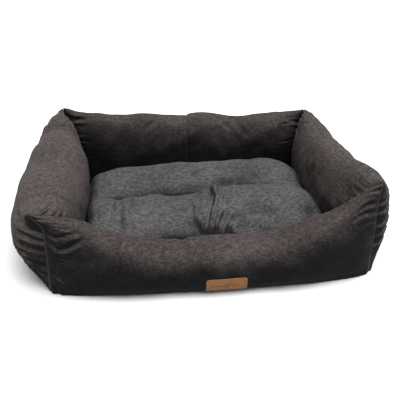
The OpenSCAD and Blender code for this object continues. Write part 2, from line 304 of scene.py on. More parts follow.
def tube_faces(rows, cols, flip=False):
    """Faces of a closed tube: rows of rings, each end closed across its slit."""
    faces = []
    for i in range(rows - 1):
        for j in range(cols):
            k = (j + 1) % cols
            a, b, c, d = i * cols + j, i * cols + k, (i + 1) * cols + j, (i + 1) * cols + k
            faces.append((a, c, d, b) if flip else (a, b, d, c))
    for first, turned in ((0, flip), ((rows - 1) * cols, not flip)):
        for j in range(cols // 2):
            ring = [first + j, first + j + 1, first + (cols - j - 1) % cols, first + (cols - j) % cols]
            ring = list(dict.fromkeys(ring))
            if len(ring) > 2:
                faces.append(tuple(ring if turned else ring[::-1]))
    return faces


def cloth_piece(name, start, spare, sewn, pressure, flip=False, bending=0.06):
    """A temporary tube of cloth; sewn points stay put and spare is the fabric's shape before it was sewn."""
    piece = new_object(name, new_mesh(name, start, tube_faces(*start.shape[:2], flip)))
    piece.shape_key_add(name="sewn")
    unsewn = piece.shape_key_add(name="unsewn")
    unsewn.data.foreach_set("co", (spare * MM).ravel())
    unsewn.value = 0
    piece.vertex_groups.new(name="held").add(np.flatnonzero(sewn).tolist(), 1.0, "REPLACE")
    cloth = piece.modifiers.new("cloth", "CLOTH")
    settings = cloth.settings
    settings.quality = 6
    settings.mass = 0.3
    settings.tension_stiffness = settings.compression_stiffness = 15
    settings.shear_stiffness = 5
    settings.bending_stiffness = bending
    settings.tension_damping = settings.compression_damping = settings.shear_damping = 5
    settings.bending_damping = 0.5
    settings.air_damping = 1
    settings.vertex_group_mass = "held"
    settings.use_pressure = True
    settings.uniform_pressure_force = pressure
    settings.rest_shape_key = unsewn
    settings.effector_weights.gravity = 0
    cloth.collision_settings.use_collision = False
    cloth.collision_settings.use_self_collision = False
    cloth.point_cache.frame_start = 1
    cloth.point_cache.frame_end = CLOTH_FRAMES
    return piece


def inflate(jobs):
    pieces = [cloth_piece(**job) for job in jobs]
    for number in range(1, CLOTH_FRAMES + 1):
        bpy.context.scene.frame_set(number)
    graph = bpy.context.evaluated_depsgraph_get()
    results = []
    for piece, job in zip(pieces, jobs):
        points = np.zeros(job["start"].size)
        piece.evaluated_get(graph).data.vertices.foreach_get("co", points)
        results.append(points.reshape(job["start"].shape) / MM)
    for piece in pieces:
        mesh = piece.data
        bpy.data.objects.remove(piece)
        bpy.data.meshes.remove(mesh)
    bpy.context.scene.frame_set(1)
    return results


# ---------------------------------------------------------------- fields on grids

def blur_matrix(places, width):
    weight = np.exp(-0.5 * ((places[:, None] - places[None, :]) / width) ** 2)
    return weight / weight.sum(1, keepdims=True)


def blur_round(field, sigma):
    """Gaussian blur round each ring, sigma in points."""
    n = field.shape[1]
    f = np.fft.fftfreq(n)
    gain = np.exp(-2 * (math.pi * f * sigma) ** 2)
    return np.fft.ifft(np.fft.fft(field, axis=1) * gain[None, :, None], axis=1).real


def soft_limit(field, most):
    size = np.linalg.norm(field, axis=2, keepdims=True)
    return field * most * np.tanh(size / most) / np.maximum(size, 1e-6)


def finer(field, axis, closed):
    """Doubles a grid along one axis with a smooth four-point rule."""
    f = np.moveaxis(field, axis, 0)
    if closed:
        before, after, after2 = np.roll(f, 1, 0), np.roll(f, -1, 0), np.roll(f, -2, 0)
        half = (9 * (f + after) - before - after2) / 16
        out = np.stack([f, half], axis=1).reshape((-1,) + f.shape[1:])
    else:
        pad = np.concatenate([2 * f[:1] - f[1:2], f, 2 * f[-1:] - f[-2:-1]])
        half = (9 * (pad[1:-2] + pad[2:-1]) - pad[:-3] - pad[3:]) / 16
        out = np.empty((2 * len(f) - 1,) + f.shape[1:])
        out[0::2], out[1::2] = f, half
    return np.moveaxis(out, 0, axis)


def grid_normals(points, closed, flip):
    across = np.roll(points, -1, 1) - np.roll(points, 1, 1) if closed else np.gradient(points, axis=1)
    down = np.gradient(points, axis=0)
    normal = np.cross(down, across) * (-1 if flip else 1)
    return normal / (np.linalg.norm(normal, axis=2, keepdims=True) + 1e-9)


def lumps(points, size, seed, waves=28):
    """Smooth random field of about unit height over points, with features about size wide."""
    rng = np.random.default_rng(seed)
    direction = rng.normal(size=(waves, 3))
    direction /= np.linalg.norm(direction, axis=1, keepdims=True)
    rate = 2 * math.pi / (size * rng.uniform(1.4, 2.8, waves))
    phase = rng.uniform(0, 2 * math.pi, waves)
    field = sum(np.sin(points @ (d * r) + p) for d, r, p in zip(direction, rate, phase))
    return field * math.sqrt(2 / waves)


def squircle(u, v, power):
    """Points u, v of a square from -1 to 1, drawn in to one with round corners."""
    m = np.maximum(np.abs(u), np.abs(v))
    k = m / np.maximum((np.abs(u) ** power + np.abs(v) ** power) ** (1 / power), 1e-9)
    return u * k, v * k


# ---------------------------------------------------------------- wall skins

def inflated_walls():
    """Every wall with its places, its design rings and the same rings inflated."""
    shapes, jobs = [], []
    for wall in WALLS:
        s, rings = design_rings(wall)
        sewn = rings[..., 2] <= BASE_Z + 0.5
        sewn[[0, -1]] = True
        shapes.append((wall, s, rings))
        jobs.append({"name": wall.name, "start": seed_gathers(wall, s, rings),
                     "spare": spare_rings(wall, s, rings), "sewn": sewn, "pressure": 0.8, "flip": wall.flip})
    return [(*shape, inflated) for shape, inflated in zip(shapes, inflate(jobs))]


def fold_detail(wall, s, rings, inflated):
    """The folds of the simulation without its large changes of shape, so the wall keeps its design size."""
    move = inflated - rings
    along = blur_matrix(wall.place(s), 45)
    spacing = ring_lengths(rings).mean() / RING_POINTS
    broad = np.einsum("ik,kjc->ijc", along, blur_round(move, 24 / spacing))
    near_seam = 0.05 + 0.95 * np.exp(-(wall.end_distance(s) / 60) ** 1.4)
    return soft_limit(move - broad, wall.folds) * near_seam[:, None, None] + soft_limit(broad, 5) * 0.25


def keep_in_bed(wall, points):
    """Stops a wall at the ground and at the mitre planes where it meets its neighbours."""
    place, n, z = wall.local(points)
    room = wall.from_end(place) - 0.3
    inward = np.where(z > 0, np.maximum(n, -np.maximum(room, 0.3)), n)
    place = np.clip(place, END_GAP * 0.5, wall.length + 1.5 * END_GAP)
    return wall.world(place, inward, np.maximum(z, BASE_Z))


class Skin:
    """A wall's or cushion's skin as a grid: rows run along it and columns round it."""

    def __init__(self, points, place, crest, flip=False):
        self.points, self.place, self.crest, self.flip = points, place, crest, flip
        self.measure()

    def measure(self):
        """Distance round each ring from the crest: above 0 on the outside and below 0 on the inside."""
        steps = np.linalg.norm(np.roll(self.points, -1, 1) - self.points, axis=2)
        run = np.concatenate([np.zeros((len(steps), 1)), np.cumsum(steps, axis=1)[:, :-1]], axis=1)
        self.down = run[:, self.crest:self.crest + 1] - run

    def normals(self):
        return grid_normals(self.points, True, self.flip)

    def faces(self):
        return tube_faces(*self.points.shape[:2], self.flip)

    def push(self, amount):
        self.points = self.points + self.normals() * amount[..., None]

    def press(self, path, width, depth, lip=0.35, taper=0.5):
        """Presses a crease along a path of (place, down) points."""
        path = np.asarray(path, float)
        run = distance_run(path)
        here = np.stack([np.broadcast_to(self.place[:, None], self.down.shape), self.down], axis=-1)
        best = np.full(self.down.shape, 1e9)
        share = np.zeros(self.down.shape)
        for k in range(len(path) - 1):
            a, b = path[k], path[k + 1]
            t = np.clip(((here - a) @ (b - a)) / max((b - a) @ (b - a), 1e-9), 0, 1)
            d = np.linalg.norm(here - (a + t[..., None] * (b - a)), axis=2)
            closer = d < best
            best = np.where(closer, d, best)
            share = np.where(closer, (run[k] + t * (run[k + 1] - run[k])) / run[-1], share)
        sink = bell(best, width) - lip * bell(best - 2.0 * width, width)
        fade = np.sin(math.pi * np.clip(share, 0, 1)) ** taper
        self.push(-(depth * sink * fade))


# ---------------------------------------------------------------- a wall's own seams and creases

# Creases that are seen from the front: (width, depth, path). A path's points are the distance along the wall
# and the distance down from its crest, which is below 0 on the inner side.
CREASES = {
    "left": [
        (4, 4.0, [(476, 22), (474, 8), (471, -11), (474, -40)]),
        (4, 1.8, [(343, 39), (335, 2), (347, -38)]),
        (4, 3.2, [(295, 48), (287, 12), (287, -16), (289, -45)]),
        (4, 2.6, [(150, 48), (156, 29), (168, 6), (172, -4)]),
        (4, 2.6, [(192, 2), (196, -6), (197, -30)]),
        (4, 2.2, [(484, 46), (481, 37), (474, 13)]),
        (5, 2.0, [(110, 30), (118, -5), (112, -38)]),
        (4, 2.2, [(62, 18), (74, -8), (66, -34)]),
        (5, 5.5, [(88, 60), (65, 65), (27, 59), (8, 48), (1, 44)]),
        (4, 2.6, [(50, 76), (20, 66), (6, 54), (1, 52)]),
        (4, 4.2, [(74, 92), (23, 86), (6, 68), (1, 62)]),
        (4, 3.0, [(66, 118), (20, 112), (4, 87), (1, 84)]),
        (4, 2.4, [(52, 134), (16, 125), (4, 101), (1, 97)]),
        (4, 3.0, [(48, 146), (10, 138), (4, 120), (1, 115)]),
        (4, 3.2, [(44, 162), (8, 154), (3, 140), (1, 136)]),
        (4, 2.6, [(34, 175), (4, 164), (1, 159)]),
    ],
    "front": [
        (3.5, 3.4, [(0, 16), (8, 11), (32, 5), (54, 3)]),
        (4, 1.8, [(34, 27), (40, 25), (56, 23)]),
        (4, 2.0, [(4, 42), (14, 44), (25, 46), (43, 36), (76, 24)]),
        (4, 3.3, [(3, 54), (12, 58), (25, 69), (40, 64), (65, 44), (78, 30)]),
        (4, 2.7, [(3, 106), (8, 112), (16, 129), (35, 141), (50, 152)]),
        (4, 2.2, [(4, 148), (10, 158), (16, 180), (34, 198)]),
        (4, 3.4, [(259, -8), (258, 4), (254, 28)]),
        (5, 1.2, [(238, 4), (232, 20), (236, 40)]),
        (3.5, 3.4, [(592, 5), (615, 6), (624, 10), (640, 16)]),
        (4, 2.4, [(586, 36), (596, 32), (610, 31), (626, 38), (640, 42)]),
        (4, 2.4, [(580, 46), (593, 41), (606, 43), (620, 52), (640, 60)]),
        (4, 1.7, [(600, 64), (622, 70), (640, 80)]),
        (4, 1.8, [(606, 126), (624, 118), (640, 112)]),
    ],
    "right": [
        (4, 2.4, [(146, -34), (144, -9), (146, 14)]),
        (4, 2.6, [(124, -36), (112, -10), (102, 12), (84, 20)]),
        (4, 2.6, [(76, -30), (78, -8), (72, 6), (46, 12)]),
        (4, 2.2, [(166, -24), (156, 8)]),
        (4, 3.0, [(480, -44), (471, -27), (448, -6)]),
        (4, 2.0, [(330, -40), (322, -8), (328, 20)]),
        (4, 3.2, [(56, 44), (30, 50), (6, 50), (1, 48)]),
        (4, 3.2, [(60, 74), (30, 76), (6, 71), (1, 68)]),
        (4, 2.8, [(48, 102), (20, 103), (5, 98), (1, 95)]),
        (4, 2.6, [(42, 128), (18, 126), (1, 117)]),
        (4, 2.6, [(36, 152), (14, 148), (1, 138)]),
    ],
    "back": [
        (6, 2.2, [(392, -6), (404, -20), (432, -52)]),
        (7, 2.6, [(436, -10), (450, -28), (478, -70)]),
        (6, 1.8, [(246, -8), (236, -30), (204, -58)]),
        (5, 2.4, [(0, -24), (22, -30), (60, -22)]),
        (5, 2.4, [(642, -20), (622, -34), (590, -30)]),
    ],
}

# Wall ends whose outer sides have creases above: (wall, is it the wall's first end).
SHOWN_ENDS = {("left", True), ("front", True), ("front", False), ("right", True)}

# Corner tips that are pushed over: (corner, how far its tip moves, reach of the move).
TIP_PULLS = [((X_LEFT, Y_FRONT), (-22, -5, -1), 24), ((X_RIGHT, Y_FRONT), (4, -3, 0), 24)]


def end_gathers(wall, skin):
    """Short level creases that run out from a wall's sewn ends, where no listed ones are."""
    rng = np.random.default_rng(wall.seed + 90)
    for first in (True, False):
        for side in (1, -1):
            if side > 0 and (wall.name, first) in SHOWN_ENDS:
                continue
            down = rng.uniform(18, 30)
            while down < 165:
                reach = rng.uniform(30, 78)
                drop = rng.uniform(-4, 10)
                ends = [(1, side * down * 0.86), (reach * 0.35, side * down), (reach, side * (down + drop))]
                path = ends if first else [(wall.full - p, d) for p, d in ends]
                depth = rng.uniform(1.6, 3.4)
                skin.press(path, rng.uniform(3.4, 4.6), depth if side > 0 else 0.4 * depth)
                down += rng.uniform(11, 19)


def crest_seam(wall, skin, from_end):
    """The seam along the crest: a fine groove with uneven puckers on both sides."""
    rng = np.random.default_rng(wall.seed + 70)
    skin.measure()
    off = np.abs(skin.down - wall.seam_shift(skin.place)[:, None])
    steps = rng.uniform(7, 15, 200).cumsum()
    pucker = np.interp(skin.place, steps, rng.uniform(-1, 1, 200))[:, None]
    groove = 1.5 * bell(off, 2.4)
    ruck = 0.8 * pucker * bell(off - 7, 6)
    skin.push((ruck - groove) * np.clip(from_end / 12, 0, 1))


def upright_seam(wall, skin, place):
    """A seam across a wall, where its cover is drawn in to the divider behind it."""
    off = np.abs(skin.place - wall.place(place))[:, None]
    rng = np.random.default_rng(wall.seed + 80)
    ups = np.interp(skin.down[0], np.linspace(skin.down.min(), skin.down.max(), 40), rng.uniform(-1, 1, 40))
    draw = 3.2 * bell(off, 3.0) + 3.5 * np.exp(-(off / 26) ** 1.4)
    ruck = ups[None, :] * bell(off - 9, 8)
    above = np.clip((skin.points[..., 2] - BASE_Z) / 20, 0, 1)
    crest = 1 - 0.75 * bell(skin.down, 16)
    skin.push((ruck - draw) * above * crest)


def pull_tips(points):
    for (x, y), move, reach in TIP_PULLS:
        tip = np.array([x, y, tip_height(x, y)])
        away = (points - tip) / (reach * 1.6, reach, reach)
        points = points + np.array(move) * np.exp(-(away ** 2).sum(-1))[..., None]
    return points


def wall_skin(wall, s, rings, inflated):
    points = rings + fold_detail(wall, s, rings, inflated)
    points = finer(finer(points, 0, False), 1, True)
    places = wall.place(finer(s[:, None], 0, False)[:, 0])
    skin = Skin(points, places, 2 * CREST, wall.flip)
    from_end = wall.from_end(places)[:, None]
    free = np.clip((skin.points[..., 2] - BASE_Z) / 12, 0, 1) * (1 - np.exp(-from_end / 14))
    lumpy = 1.6 * lumps(skin.points, 62, wall.seed + 50) + 0.5 * lumps(skin.points, 23, wall.seed + 60)
    skin.push(free * lumpy)
    skin.measure()
    end_gathers(wall, skin)
    for width, depth, path in CREASES[wall.name]:
        skin.press(path, width, depth)
    for place in wall.seams:
        upright_seam(wall, skin, place)
    crest_seam(wall, skin, from_end)
    skin.points = pull_tips(keep_in_bed(wall, skin.points))
    return skin


# ---------------------------------------------------------------- the cushion

CUSHION_LOW, CUSHION_HIGH = node_box("cushion_cover_top")
CUSHION_UNDER = node_box("cushion_cover_bottom")[0][2]
SEAM_Z = sum(corner[2] for corner in node_box("zip_coil")) / 2
CUSHION_MID = (CUSHION_LOW + CUSHION_HIGH)[:2] / 2
END_PRESS = 6                              # how far each stuffed end presses out against its wall
CUSHION_HALF = (CUSHION_HIGH - CUSHION_LOW)[:2] / 2 + (END_PRESS, 0)
BELLY = SEAM_Z - CUSHION_UNDER
CHANNEL_Y = sum(corner[1] for corner in node_box("channel_stitching")) / 2 - CUSHION_MID[1]
CHANNEL_WIDTH = 34
CORNER_POWER = 12
FRONT_OVERHANG = 10                        # the front lobe rises this far behind the cushion's front edge
ACROSS, DEEP = 76, 62                      # fabric squares across the cushion and from front to back
CUSHION_SEED = 21

# Height of each lobe's ridge above the ground, along the cushion: (place from its middle, height).
FRONT_RIDGE = [(-256, 82), (-239, 86), (-204, 89), (-160, 87), (-118, 91), (-37, 92), (-3, 98), (25, 109),
               (113, 111), (166, 110), (225, 101), (256, 86)]
BACK_RIDGE = [(-256, 72), (-194, 85), (-107, 91), (-24, 98), (46, 98), (148, 102), (196, 95), (228, 87),
              (256, 74)]

# Gathers in the front lobe: (width, depth, path), each point a place from front to back and a distance
# along the top from the right-hand edge.
CUSHION_CREASES = [
    (5, 5, [(-76, 336), (-112, 326), (-150, 315), (-186, 292)]),
    (5, 4, [(-30, 270), (-70, 278), (-104, 292)]),
    (5, 8, [(-20, 262), (-70, 274), (-121, 279), (-172, 282), (-212, 278)]),
    (5, 5, [(-104, 320), (-150, 300), (-178, 294), (-206, 292)]),
    (5, 5, [(-130, 262), (-166, 268), (-214, 266)]),
    (5, 3, [(-60, 306), (-96, 310), (-138, 326)]),
    (7, 4, [(-22, 452), (-84, 456), (-128, 462)]),
    (7, 2, [(-40, 400), (-78, 408), (-116, 420)]),
    (6, 4, [(-172, 238), (-192, 226), (-208, 208)]),
    (6, 4, [(-150, 238), (-176, 246), (-208, 250)]),
    (7, 3, [(60, 300), (86, 290), (112, 294)]),
]


def ridge_height(ridge, x):
    """Height of a ridge at x, rounded over 25 mm."""
    return sum(np.interp(x + step, *zip(*ridge)) for step in (-25, -12, 0, 12, 25)) / 5


def lobe_profile(t, peak, roundness):
    """Height of a lobe from 0 at both its edges to 1 at its peak, for t from 0 to 1 across it."""
    even = t ** (math.log(0.5) / math.log(peak))
    return np.sqrt(np.maximum(0, 1 - np.abs(2 * even - 1) ** roundness))


def cushion_sheet(u, v, upper):
    """Points of the upper or lower cover at u, v, each from -1 to 1."""
    round_u, round_v = squircle(u, v, CORNER_POWER)
    x, y = round_u * CUSHION_HALF[0], round_v * CUSHION_HALF[1]
    off = y - CHANNEL_Y
    if upper:
        front = y + CUSHION_HALF[1] - FRONT_OVERHANG
        front = np.clip(front / (CHANNEL_Y + CUSHION_HALF[1] - FRONT_OVERHANG), 0, 1)
        back = np.clip((CUSHION_HALF[1] - y) / (CUSHION_HALF[1] - CHANNEL_Y), 0, 1)
        lobe = np.where(off < 0, lobe_profile(front, 0.62, 2.2), lobe_profile(back, 0.44, 1.6))
        notch = 9 * bell(x + 190, 11) + 4 * bell(x + 8, 12)
        ridge = np.where(off < 0, ridge_height(FRONT_RIDGE, x) - notch, ridge_height(BACK_RIDGE, x))
        ends = np.sqrt(np.maximum(0, 1 - np.abs(u) ** 20))
        z = SEAM_Z + ((ridge - SEAM_Z) * lobe + 2 * bell(off, 20)) * ends
    else:
        m = np.maximum(np.abs(u), np.abs(v))
        dip = np.exp(-(np.abs(off) / CHANNEL_WIDTH) ** 1.7)
        z = SEAM_Z - (BELLY - 9 * dip) * np.sqrt(np.maximum(0, 1 - m ** 12))
    return np.stack([CUSHION_MID[0] + x, CUSHION_MID[1] + y, z], axis=-1)


def spaced(count):
    """Places from -1 to 1, closer together near both ends."""
    t = np.linspace(-1, 1, count)
    return np.sign(t) * (1 - (1 - np.abs(t)) ** 1.25)


def cushion_skin():
    u, v = np.meshgrid(spaced(ACROSS + 1), spaced(DEEP + 1))
    rings = np.concatenate([cushion_sheet(u, v, True), cushion_sheet(u, v, False)[:, -2:0:-1]], axis=1)
    row_place = v[:, 0] * CUSHION_HALF[1]
    rows, cols = rings.shape[:2]
    rng = np.random.default_rng(CUSHION_SEED)
    x, y = rings[..., 0] - CUSHION_MID[0], rings[..., 1] - CUSHION_MID[1]
    edge = CUSHION_HALF[1] - np.abs(y)
    upper = (np.arange(cols) <= ACROSS)[None, :] * np.ones((rows, 1), bool)
    gather = 0.9 * np.exp(-np.abs(y - CHANNEL_Y) / 30) + 0.8 * np.exp(-edge / 30)
    centre = bell(x - 5, 55) * (y < 0)
    gather = gather * (0.55 + 0.9 * centre) + 0.5 * centre
    normal = grid_normals(rings, True, False)
    zigzag = np.interp(x, np.linspace(-260, 260, 75), rng.uniform(-1, 1, 75))
    pleats = np.where(np.arange(cols) % 2, 2.6, -2.6)[None, :]
    sewn = np.zeros((rows, cols), bool)
    sewn[[0, -1]] = True
    sewn[:, [0, ACROSS]] = True
    sewn |= upper & (np.abs(y - CHANNEL_Y) < 5)
    sewn |= ~upper & (rings[..., 2] < CUSHION_UNDER + 1)
    job = {"name": "cushion", "start": rings + normal * (zigzag * 1.6 * gather * upper)[..., None],
           "spare": rings + normal * (pleats * gather * upper)[..., None], "sewn": sewn, "pressure": 0.9,
           "bending": 0.04}
    move = inflate([job])[0] - rings
    broad = np.einsum("ik,kjc->ijc", blur_matrix(row_place, 30), blur_round(move, 4))
    points = rings + soft_limit(move - broad, 8) + soft_limit(broad, 6) * 0.6
    points = finer(finer(points, 0, False), 1, True)
    skin = Skin(points, CUSHION_MID[1] + finer(row_place[:, None], 0, False)[:, 0], 2 * ACROSS)
    up = np.clip((skin.points[..., 2] - SEAM_Z) / 20, 0, 1)
    lumpy = 1.8 * lumps(skin.points, 60, 31) + 0.8 * lumps(skin.points, 24, 32)
    skin.push(up * lumpy)
    skin.measure()
    for width, depth, path in CUSHION_CREASES:
        skin.press(path, width, depth)
    return skin


# ---------------------------------------------------------------- cords and stitches

def tube(points, radius, sides=8):
    """Points and faces of a tube of that radius (one number, or one per point) along a line."""
    points = np.asarray(points, float)
    ahead = np.roll(points, -1, 0) - np.roll(points, 1, 0)
    ahead[0], ahead[-1] = points[1] - points[0], points[-1] - points[-2]
    ahead /= np.linalg.norm(ahead, axis=1, keepdims=True) + 1e-9
    side = np.cross(ahead, (0.31, 0.17, 0.93))
    side /= np.linalg.norm(side, axis=1, keepdims=True) + 1e-9
    up = np.cross(side, ahead)
    turn = np.linspace(0, 2 * math.pi, sides, endpoint=False)
    ring = np.cos(turn)[None, :, None] * side[:, None] + np.sin(turn)[None, :, None] * up[:, None]
    verts = points[:, None] + ring * np.broadcast_to(radius, len(points))[:, None, None]
    rows = len(points)
    faces = []
    for start in range(0, (rows - 1) * sides, sides):
        for j in range(sides):
            k = (j + 1) % sides
            faces.append((start + j, start + k, start + sides + k, start + sides + j))
    faces.append(tuple(range(sides - 1, -1, -1)))
    faces.append(tuple(range((rows - 1) * sides, rows * sides)))
    return verts.reshape(-1, 3), faces


def joined(parts):
    """Several (points, faces) as one."""
    points, faces, start = [], [], 0
    for verts, polys in parts:
        points.append(verts)
        faces += [tuple(i + start for i in f) for f in polys]
        start += len(verts)
    return np.vstack(points), faces


def stitches(line, normal, length=3.0, gap=1.6, radius=0.45, bow=0.25):
    """A row of stitches along a line: short threads that arch over the cloth and dip in at both ends."""
    run = distance_run(line)

    def at(field, t):
        return np.stack([np.interp(t, run, field[:, k]) for k in range(3)], axis=-1)

    parts, start = [], 0.0
    arch = np.array([-0.9, 0.55, 1.0, 0.55, -0.9]) * bow
    while start + length < run[-1]:
        t = np.linspace(start, start + length, 5)
        thread = at(line, t) + at(normal, t) * (arch[:, None] + radius * 0.4)
        parts.append(tube(thread, [radius * 0.6, radius, radius, radius, radius * 0.6], 6))
        start += length + gap
    return joined(parts)


# ---------------------------------------------------------------- walls

INSIDE = {"back": ["back_wall_filling_left", "back_wall_filling_right", "back_wall_divider"]}
skins = {wall.name: wall_skin(wall, *shapes) for wall, *shapes in inflated_walls()}
wall_pieces = []
for name, skin in skins.items():
    piece = add_piece(name + "_wall", skin.points, skin.faces(), "bed")
    inside = INSIDE.get(name, [name + "_wall_filling"])
    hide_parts(name + "_outer_panel", name + "_inner_panel", *inside)
    wall_pieces.append(piece)

CORD_POINTS = 60
CORNERS = [(("front", 0), ("left", 0)), (("front", -1), ("right", 0)),
           (("back", 0), ("left", -1)), (("back", -1), ("right", -1))]


def at_heights(line, z):
    """Points of a rising line at heights z."""
    return np.stack([np.interp(z, line[:, 2], line[:, k]) for k in range(2)] + [z], axis=1)


def corner_line(ends):
    """The seam between two walls, from the ground to the tip, midway between the two sewn ends."""
    lines = []
    for name, row in ends:
        ring = skins[name].points[row]
        ring = ring[np.argsort(ring[:, 2])]
        lines.append(at_heights(ring, np.linspace(BASE_Z + 2, ring[:, 2].max() - 3, CORD_POINTS)))
    z = np.linspace(BASE_Z + 2, min(line[-1, 2] for line in lines), CORD_POINTS)
    return sum(at_heights(line, z) for line in lines) / 2


rng = np.random.default_rng(5)
cords = []
for ends in CORNERS:
    uneven = np.interp(np.arange(CORD_POINTS), np.arange(0, 64, 4), rng.uniform(-1, 1, 16))
    radius = 1.1 + 0.2 * uneven
    radius[-3:] *= (0.9, 0.7, 0.4)
    cords.append(tube(corner_line(ends), radius, 10))
corner_piece = add_piece("corner_seam_cords", *joined(cords), "bed")
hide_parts("corner_seams")

crest_rows = []
for skin in skins.values():
    column = skin.points[3:-3, skin.crest]
    normal = skin.normals()[3:-3, skin.crest]
    crest_rows.append(stitches(column - normal * 0.15, normal, length=3.2, gap=1.4, radius=0.42, bow=0.3))
crest_piece = add_piece("crest_seam_stitches", *joined(crest_rows), "bed")
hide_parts("crest_seams")


# ---------------------------------------------------------------- base

PAD_STEP = 6


def base_pad_rings():
    """The quilted pad inside the bed: a flat slab with round corners and a wavy top."""
    low, high = node_box("base_wadding")
    low[2] = BASE_Z - 0.1
    high[2] = node_box("base_panel_top")[1][2]
    nx, ny = ((high - low)[:2] / PAD_STEP).astype(int)
    u, v = np.meshgrid(np.linspace(-1, 1, nx), np.linspace(-1, 1, ny))
    mid, half = (low + high) / 2, (high - low) / 2
    round_u, round_v = squircle(u, v, 14)
    x, y = mid[0] + round_u * half[0], mid[1] + round_v * half[1]
    edge = np.sqrt(np.maximum(0, 1 - np.maximum(np.abs(u), np.abs(v)) ** 60))
    flat = np.stack([x, y, x * 0], -1)
    wave = 0.5 * lumps(flat, 45, 41) + 0.25 * lumps(flat, 15, 42)
    quilt = -0.9 + 0.5 * np.clip(wave, -1.5, 1.5)
    seam = (low[2] + high[2]) / 2
    upper = np.stack([x, y, seam + (high[2] - seam + quilt) * edge], -1)
    lower = np.stack([x, y, seam + (low[2] - seam) * edge], -1)
    return np.concatenate([upper, lower[:, -2:0:-1]], axis=1)


base_rings = base_pad_rings()
base_piece = add_piece("base_pad", base_rings, tube_faces(*base_rings.shape[:2]), "bed")
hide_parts("base_wadding", "base_panel_top")


def foot_outline():
    """The ring on the ground that the walls' feet stand on, evenly turned round the middle."""
    feet = [skin.points[skin.points[..., 2] < BASE_Z + 0.6][:, :2] for skin in skins.values()]
    points = np.concatenate(feet)
    angle = np.arctan2(points[:, 1] - MIDDLE[1], points[:, 0] - MIDDLE[0])
    reach = np.linalg.norm(points - MIDDLE, axis=1)
    turn = np.linspace(-math.pi, math.pi, 360, endpoint=False)
    far = np.zeros(len(turn))
    for i, t in enumerate(turn):
        off = (angle - t + math.pi) % (2 * math.pi) - math.pi
        far[i] = reach[np.abs(off) < 0.012].max()
    far = np.minimum(far, np.minimum(np.roll(far, 1), np.roll(far, -1)))
    return np.stack([np.cos(turn), np.sin(turn)], axis=-1) * far[:, None]


foot = foot_outline()
share = np.r_[np.linspace(0.02, 0.975, 60), 0.983, 0.988]
flat = MIDDLE + foot[None] * share[:, None, None]
flat_points = np.concatenate([flat, flat[..., :1] * 0], -1)
z_low = np.clip(0.1 + 0.12 * lumps(flat_points, 30, 43), 0, 0.4)
sheet_top = flat_points + (0, 0, BASE_Z - 0.05)
sheet_low = np.concatenate([flat, z_low[..., None]], -1)[::-1]
under_rings = np.concatenate([sheet_top, sheet_low])
under_piece = add_piece("base_underside", under_rings, tube_faces(*under_rings.shape[:2]), "bed")
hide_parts("base_panel_bottom")


# ---------------------------------------------------------------- cushion

cushion = cushion_skin()
cushion_piece = add_piece("cushion_cover", cushion.points, cushion.faces(), "cushion")
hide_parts("cushion_cover_top", "cushion_cover_bottom", "cushion_filling_front",
            "cushion_filling_back")

middle_line = cushion.points[:, cushion.crest // 2, 1] - CUSHION_MID[1]
channel_row = int(np.argmin(np.abs(middle_line - CHANNEL_Y)))
channel_cols = slice(8, cushion.crest - 8)
line = cushion.points[channel_row, channel_cols]
normal = cushion.normals()[channel_row, channel_cols]
channel_piece = add_piece("channel_stitches", *stitches(line, normal, 4.0, 2.0, 0.55), "cushion")
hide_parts("channel_stitching")


# ---------------------------------------------------------------- label

label_low, label_high = node_box("label")
label_mid = (label_low + label_high) / 2
LABEL_HALF = (label_high - label_low)[[0, 2]] / 2
LABEL_T = 1.8
LABEL_POINTS = 150      # across the label, with half as many up it
LABEL_CORNER = 10
BORDER = 3.0            # from the label's edge to its pressed border and its stitches
BAR_FROM, BAR_TO, BAR_HALF = 11, 28, 1.3
front_mesh = wall_pieces[0].data
tree = BVHTree.FromPolygons([v.co / MM for v in front_mesh.vertices],
                            [p.vertices[:] for p in front_mesh.polygons])


def front_y(x, z):
    """Where the front wall's outer surface stands at x, z."""
    hit = tree.ray_cast(Vector((x, Y_FRONT - 150, z)), Vector((0, 1, 0)))[0]
    if hit is None:
        hit = tree.find_nearest(Vector((x, Y_FRONT - 60, z)))[0]
    return hit[1]


def paw_depth(x, z):
    """Depth of the debossed paw print at x, z from the label's middle."""
    depth = np.clip((1 - np.hypot(x / 5.0, (z + 2.6) / 3.9)) * 3, 0, 1)
    for px, pz, r in ((-5.6, 2.0, 1.9), (-2.1, 5.2, 2.0), (2.1, 5.2, 2.0), (5.6, 2.0, 1.9)):
        depth = np.maximum(depth, np.clip((1 - np.hypot((x - px) / r, (z - pz) / (r * 1.25))) * 2.5, 0, 1))
    return depth


def bar_depth(x, z, x0, x1):
    """Depth of a debossed round-ended bar from x0 to x1."""
    away = np.hypot(x - np.clip(x, x0, x1), z)
    return np.clip((BAR_HALF - away) / 0.35, 0, 1)


def bend_terms(x, z):
    """The nine terms of the smooth sheet that the label is, at x, z from its middle."""
    return np.stack([(x / 40) ** i * (z / 15) ** j for i in range(3) for j in range(3)], axis=-1)


probe_x, probe_z = np.meshgrid(np.linspace(-1, 1, 12) * LABEL_HALF[0],
                               np.linspace(-1, 1, 7) * LABEL_HALF[1])
surface = np.array([front_y(label_mid[0] + x, label_mid[2] + z)
                    for x, z in zip(probe_x.flat, probe_z.flat)])
terms = bend_terms(probe_x, probe_z).reshape(-1, 9)
shape = np.linalg.lstsq(terms, surface, rcond=None)[0]
gap_most = (surface - terms @ shape).min()


def label_y(x, z):
    """Where the label's back stands at x, z from its middle: a smooth sheet laid on the wall."""
    return bend_terms(x, z) @ shape + min(0, gap_most) * 0.5


